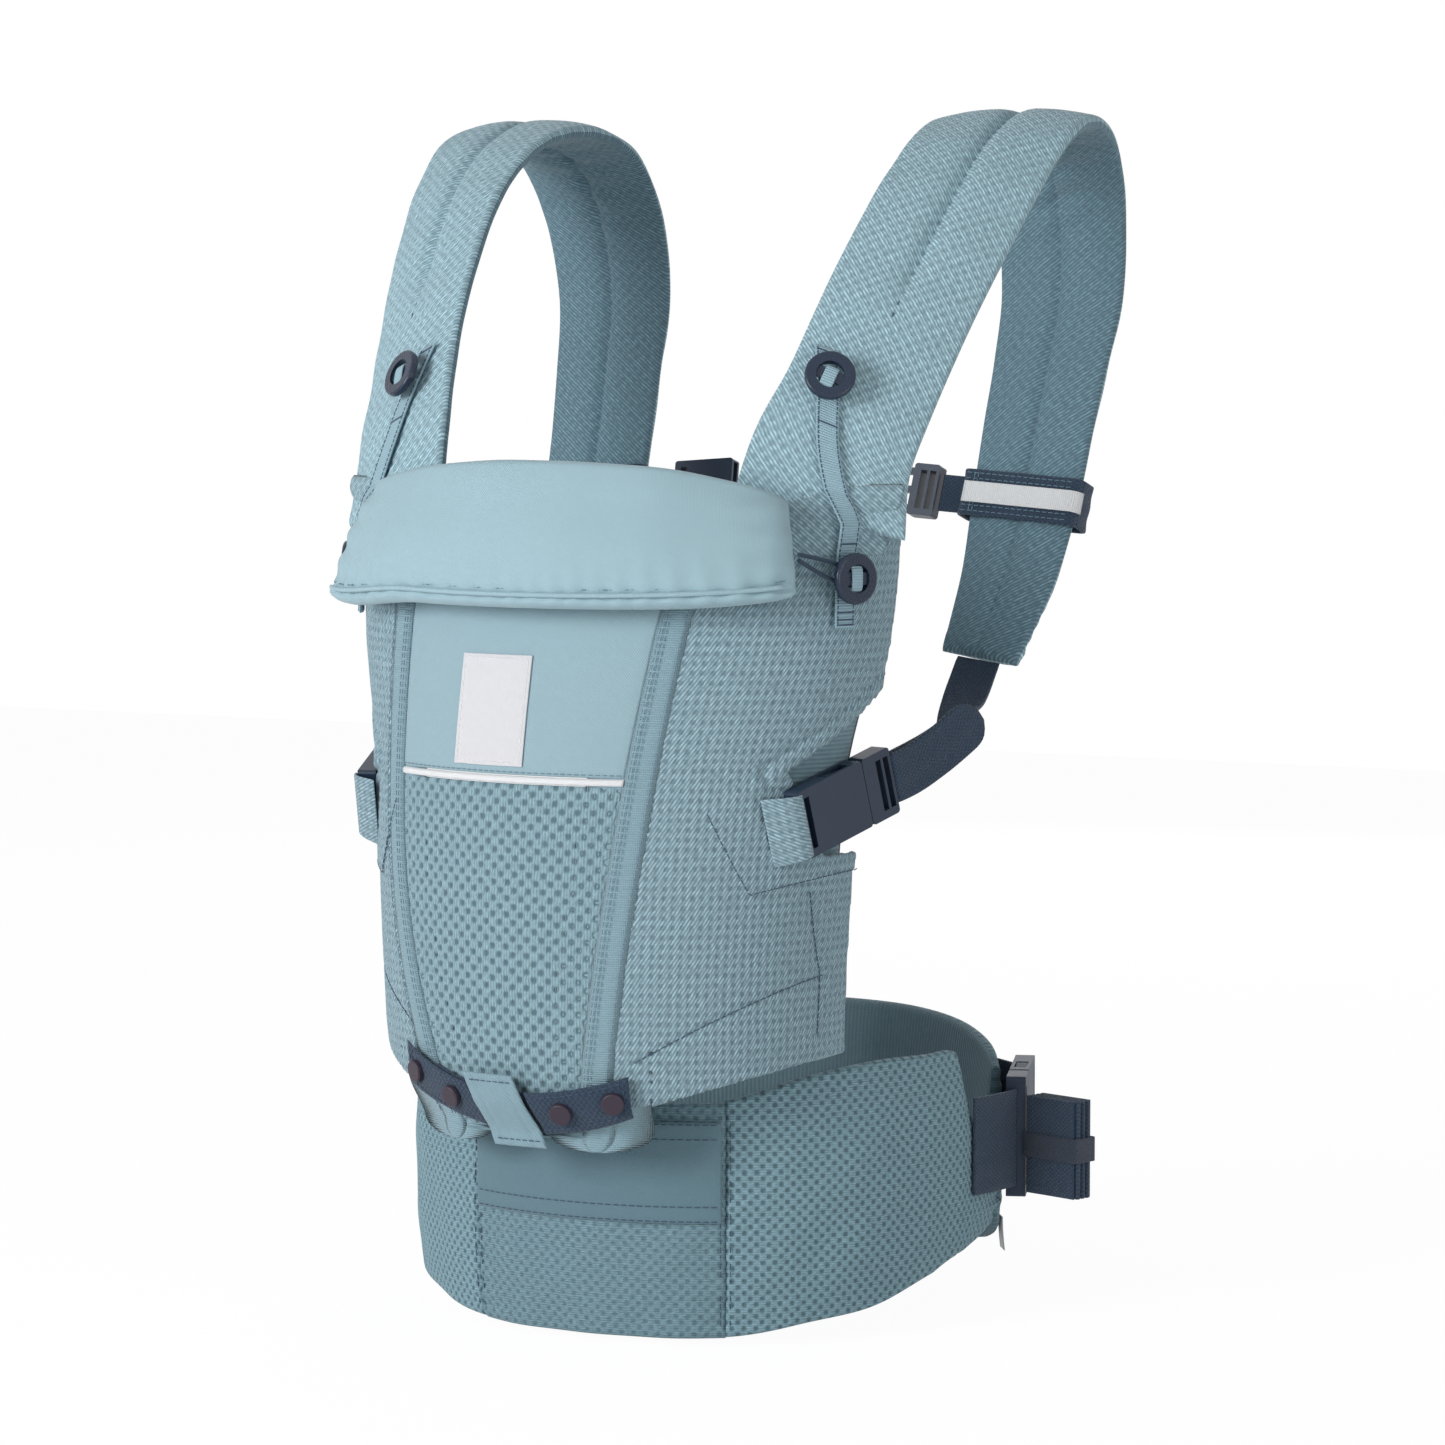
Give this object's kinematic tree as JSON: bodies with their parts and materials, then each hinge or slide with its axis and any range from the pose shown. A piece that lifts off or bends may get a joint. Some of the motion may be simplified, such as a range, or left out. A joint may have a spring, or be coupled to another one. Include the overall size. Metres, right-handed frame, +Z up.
{
  "type": "soft baby carrier",
  "caption": "Soft baby carrier with a padded waist belt, a body panel, looped shoulder straps, a folding head support and side release buckles.",
  "frame": {"origin": "centre of the waist belt's ring, at the height of the belt's lower edge", "axes": "+Z up, -Y towards the front of the panel, +X to the right in the front view"},
  "size_m": [0.3922, 0.3615, 0.609],
  "materials": {
    "panel_mesh": "spacer mesh with staggered oval holes",
    "light_twill": "smooth fine diagonal twill",
    "teal_binding": "fine ribbed binding",
    "waffle_cloth": "jacquard waffle cloth",
    "slate_lining": "darker ribbed lining",
    "belt_mesh": "wide-holed spacer mesh",
    "pale_foam": "soft open foam",
    "navy_webbing": "basket-woven webbing",
    "navy_plastic": "lightly grained plastic",
    "dark_button": "satin moulded plastic",
    "plum_snap": "matte pressed caps",
    "reflective_tape": "pale reflective ribbon",
    "blank_patch": "blank woven patch",
    "navy_elastic": "braided elastic cord"
  },
  "bodies": {
    "carrier": {"adjuster_base": "navy_webbing", "belt_centre_cover": "belt_mesh", "belt_centre_foam": "pale_foam", "belt_pocket": "light_twill", "belt_wing_cover_left": "belt_mesh", "belt_wing_cover_right": "belt_mesh", "belt_wing_foams": "pale_foam", "button_tapes": "teal_binding", "centre_loop": "light_twill", "label_patch": "blank_patch", "lower_buttons": "dark_button", "panel_band_left": "teal_binding", "panel_band_right": "teal_binding", "panel_mesh": "panel_mesh", "panel_wing_left": "waffle_cloth", "panel_wing_right": "waffle_cloth", "panel_yoke": "light_twill", "reflective_piping": "reflective_tape", "seat_base": "slate_lining", "shoulder_strap_cover_left": "waffle_cloth", "shoulder_strap_cover_right": "waffle_cloth", "shoulder_strap_foams": "pale_foam", "side_buckle_anchors": "navy_webbing", "side_buckle_female_left": "navy_plastic", "side_buckle_female_right": "navy_plastic", "side_facings": "slate_lining", "strap_webbing_left": "navy_webbing", "strap_webbing_right": "navy_webbing", "upper_buttons": "dark_button", "waist_buckle_female": "navy_plastic", "waist_webbing_back": "navy_webbing", "waist_webbing_right": "navy_webbing"},
    "head_support": {"head_support_cover": "light_twill", "head_support_foam": "pale_foam", "head_support_fold": "light_twill", "head_support_loops": "navy_elastic"},
    "waist_male": {"waist_buckle_male": "navy_plastic", "waist_webbing_roll": "navy_webbing", "roll_elastic": "navy_elastic"},
    "waist_lower_arm": {"waist_buckle_lower_arm": "navy_plastic"},
    "waist_upper_arm": {"waist_buckle_upper_arm": "navy_plastic"},
    "keeper_left": {"keeper_band_left": "navy_webbing", "chest_buckle_female": "navy_plastic"},
    "keeper_right": {"keeper_band_right": "navy_webbing", "chest_buckle_male": "navy_plastic"},
    "lumbar_pad": {"lumbar_pad_cover": "belt_mesh", "lumbar_pad_foam": "pale_foam", "care_tag": "blank_patch"},
    "side_male_left": {"side_buckle_male_left": "navy_plastic", "strap_webbing_tail_left": "navy_webbing"},
    "side_upper_arm_left": {"side_buckle_upper_arm_left": "navy_plastic"},
    "side_lower_arm_left": {"side_buckle_lower_arm_left": "navy_plastic"},
    "tab_left": {"adjuster_tab_left": "navy_webbing", "adjuster_snaps_left": "plum_snap"},
    "side_male_right": {"side_buckle_male_right": "navy_plastic", "strap_webbing_tail_right": "navy_webbing"},
    "side_upper_arm_right": {"side_buckle_upper_arm_right": "navy_plastic"},
    "side_lower_arm_right": {"side_buckle_lower_arm_right": "navy_plastic"},
    "tab_right": {"adjuster_tab_right": "navy_webbing", "adjuster_snaps_right": "plum_snap"}
  },
  "joints": [
    {"name": "head_support_flip", "type": "hinge", "parent": "carrier", "child": "head_support", "pos_m": [0, -0.16349, 0.4269], "axis": [-1, 0, 0], "range_deg": [0, 170], "deforming": ["head_support_loops"]},
    {"name": "side_release_right", "type": "slide", "parent": "carrier", "child": "side_male_right", "axis": [0.265, 0.924, 0.2756], "range_m": [0, 0.026], "deforming": ["strap_webbing_right"]},
    {"name": "side_upper_arm_right", "type": "hinge", "parent": "side_male_right", "child": "side_upper_arm_right", "pos_m": [0.13263, -0.1028, 0.28013], "axis": [0.9613, -0.2756, 0], "range_deg": [-8.5, 8.5]},
    {"name": "side_lower_arm_right", "type": "hinge", "parent": "side_male_right", "child": "side_lower_arm_right", "pos_m": [0.13461, -0.09591, 0.25513], "axis": [0.9613, -0.2756, 0], "range_deg": [-8.5, 8.5]},
    {"name": "side_release_left", "type": "slide", "parent": "carrier", "child": "side_male_left", "axis": [-0.265, 0.924, 0.2756], "range_m": [0, 0.026], "deforming": ["strap_webbing_left"]},
    {"name": "side_upper_arm_left", "type": "hinge", "parent": "side_male_left", "child": "side_upper_arm_left", "pos_m": [-0.13263, -0.1028, 0.28013], "axis": [0.9613, 0.2756, 0], "range_deg": [-8.5, 8.5]},
    {"name": "side_lower_arm_left", "type": "hinge", "parent": "side_male_left", "child": "side_lower_arm_left", "pos_m": [-0.13461, -0.09591, 0.25513], "axis": [0.9613, 0.2756, 0], "range_deg": [-8.5, 8.5]},
    {"name": "waist_release", "type": "slide", "parent": "carrier", "child": "waist_male", "axis": [0.3584, -0.9336, 0], "range_m": [0, 0.026], "deforming": ["waist_webbing_right"]},
    {"name": "waist_lower_arm", "type": "hinge", "parent": "waist_male", "child": "waist_lower_arm", "pos_m": [0.15263, 0.0497, 0.055], "axis": [0.9336, 0.3584, 0], "range_deg": [-8.5, 8.5]},
    {"name": "waist_upper_arm", "type": "hinge", "parent": "waist_male", "child": "waist_upper_arm", "pos_m": [0.15263, 0.0497, 0.109], "axis": [0.9336, 0.3584, 0], "range_deg": [-8.5, 8.5]},
    {"name": "keeper_slide_right", "type": "slide", "parent": "carrier", "child": "keeper_right", "axis": [-0.0747, -0.2799, -0.9571], "range_m": [-0.012, 0.012]},
    {"name": "keeper_slide_left", "type": "slide", "parent": "carrier", "child": "keeper_left", "axis": [0.0747, -0.2799, -0.9571], "range_m": [-0.012, 0.012]},
    {"name": "tab_open_right", "type": "hinge", "parent": "carrier", "child": "tab_right", "pos_m": [0.00706, -0.19762, 0.11417], "axis": [-0.3277, -0.3594, 0.8738], "range_deg": [-60, 0]},
    {"name": "tab_open_left", "type": "hinge", "parent": "carrier", "child": "tab_left", "pos_m": [-0.02459, -0.19659, 0.11603], "axis": [-0.336, -0.2901, 0.8961], "range_deg": [0, 60]},
    {"name": "lumbar_slide", "type": "hinge", "parent": "carrier", "child": "lumbar_pad", "pos_m": [0, 0, 0.07], "axis": [0, 0, 1], "range_deg": [-6, 6]}
  ],
  "couplings": [
    {"joint": "side_upper_arm_right", "follows": "side_release_right", "rad_per_m": 5.3702},
    {"joint": "side_lower_arm_right", "follows": "side_release_right", "rad_per_m": -5.3702},
    {"joint": "side_upper_arm_left", "follows": "side_release_left", "rad_per_m": 5.3702},
    {"joint": "side_lower_arm_left", "follows": "side_release_left", "rad_per_m": -5.3702},
    {"joint": "waist_lower_arm", "follows": "waist_release", "rad_per_m": 5.3702},
    {"joint": "waist_upper_arm", "follows": "waist_release", "rad_per_m": -5.3702}
  ]
}
